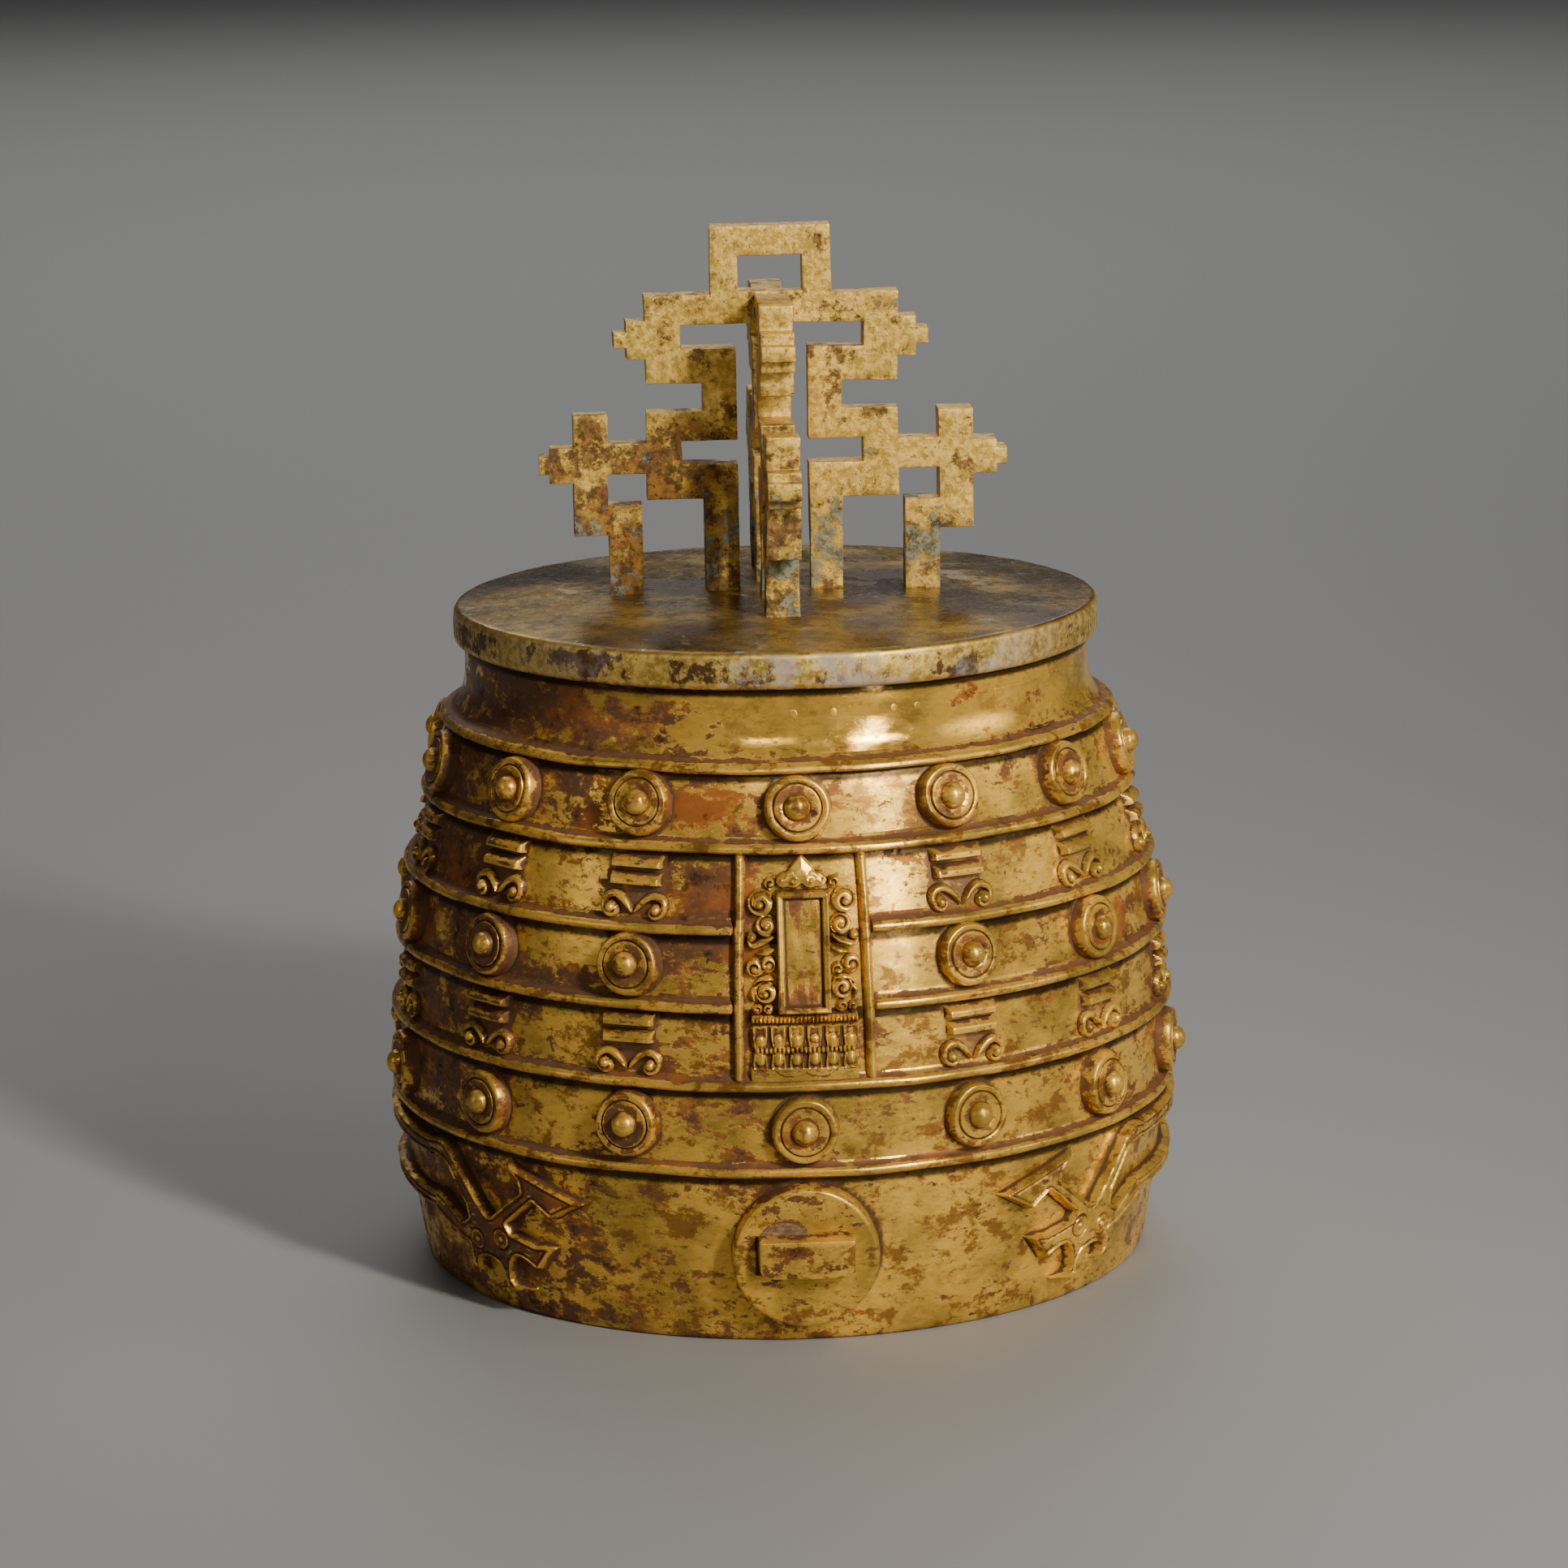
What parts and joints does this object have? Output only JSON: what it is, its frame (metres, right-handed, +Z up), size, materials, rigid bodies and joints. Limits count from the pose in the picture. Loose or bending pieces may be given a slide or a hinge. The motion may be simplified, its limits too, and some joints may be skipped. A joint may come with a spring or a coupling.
{
  "type": "bronze chime bell",
  "caption": "Barrel-shaped gilt-bronze chime bell without a clapper, hung by an openwork handle and struck on a raised disc.",
  "frame": {"origin": "centre of the bell's mouth, in the plane of its rim", "axes": "+Z up through the handle, front face with its strike disc towards -Y, handle's long plate along X"},
  "size_m": [0.2212, 0.2312, 0.286],
  "materials": {
    "gilt_bronze": "worn gilding over cast bronze, warm brown where rubbed",
    "dark_bronze": "dull brown bronze"
  },
  "bodies": {
    "root": {"bell_barrel": "gilt_bronze", "crown_plate": "gilt_bronze", "handle_long_plate": "gilt_bronze", "handle_cross_plate": "gilt_bronze", "neck_patch": "gilt_bronze", "mark_plaque_front": "gilt_bronze", "mark_plaque_back": "gilt_bronze", "mark_tablet_front": "gilt_bronze", "mark_tablet_back": "gilt_bronze", "strike_disc_front": "gilt_bronze", "strike_disc_back": "gilt_bronze", "strike_bar_front": "gilt_bronze", "strike_bar_back": "gilt_bronze", "side_dragon_left": "gilt_bronze", "side_dragon_right": "gilt_bronze", "neck_pin_1": "dark_bronze", "neck_pin_2": "dark_bronze", "neck_pin_3": "dark_bronze", "neck_pin_4": "dark_bronze", "neck_pin_5": "dark_bronze", "neck_pin_6": "dark_bronze", "neck_pin_7": "dark_bronze", "neck_pin_8": "dark_bronze", "long_plate_collar_1": "dark_bronze", "long_plate_collar_2": "dark_bronze", "long_plate_collar_3": "dark_bronze", "long_plate_collar_4": "dark_bronze", "cross_plate_collar_1": "dark_bronze", "cross_plate_collar_2": "dark_bronze", "cross_plate_collar_3": "dark_bronze", "cross_plate_collar_4": "dark_bronze"}
  },
  "joints": []
}
